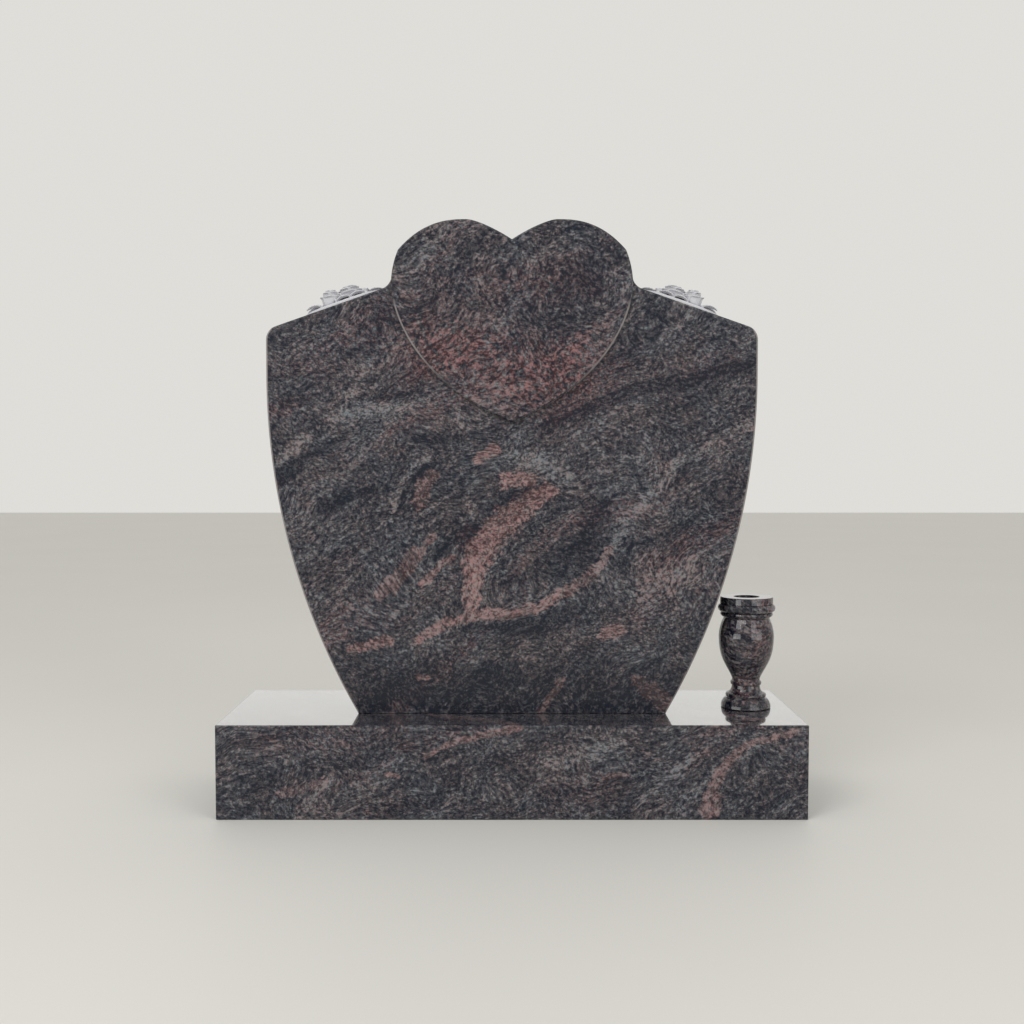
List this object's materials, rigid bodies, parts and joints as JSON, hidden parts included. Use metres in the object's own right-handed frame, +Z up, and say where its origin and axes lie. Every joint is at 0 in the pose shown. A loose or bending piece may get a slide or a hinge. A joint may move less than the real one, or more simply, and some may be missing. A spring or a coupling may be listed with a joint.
{
  "type": "heart headstone",
  "caption": "Granite heart headstone: a shield-shaped tablet with a raised heart and roses carved on its shoulders, on a rectangular base with a turned flower vase.",
  "frame": {"origin": "centre of the base's underside, on the ground", "axes": "+Z up, -Y towards the front face that carries the raised heart, +X to the viewer's right, towards the vase"},
  "size_m": [0.965, 0.305, 0.9855],
  "materials": {
    "base_granite": "polished swirled granite, charcoal with grey and salmon veins",
    "tablet_granite": "polished swirled granite, charcoal with grey and salmon veins",
    "vase_granite": "mirror-polished turned granite",
    "carved_granite": "unpolished pale carved granite"
  },
  "bodies": {
    "root": {"base": "base_granite", "tablet": "tablet_granite", "vase": "vase_granite"}
  },
  "joints": []
}
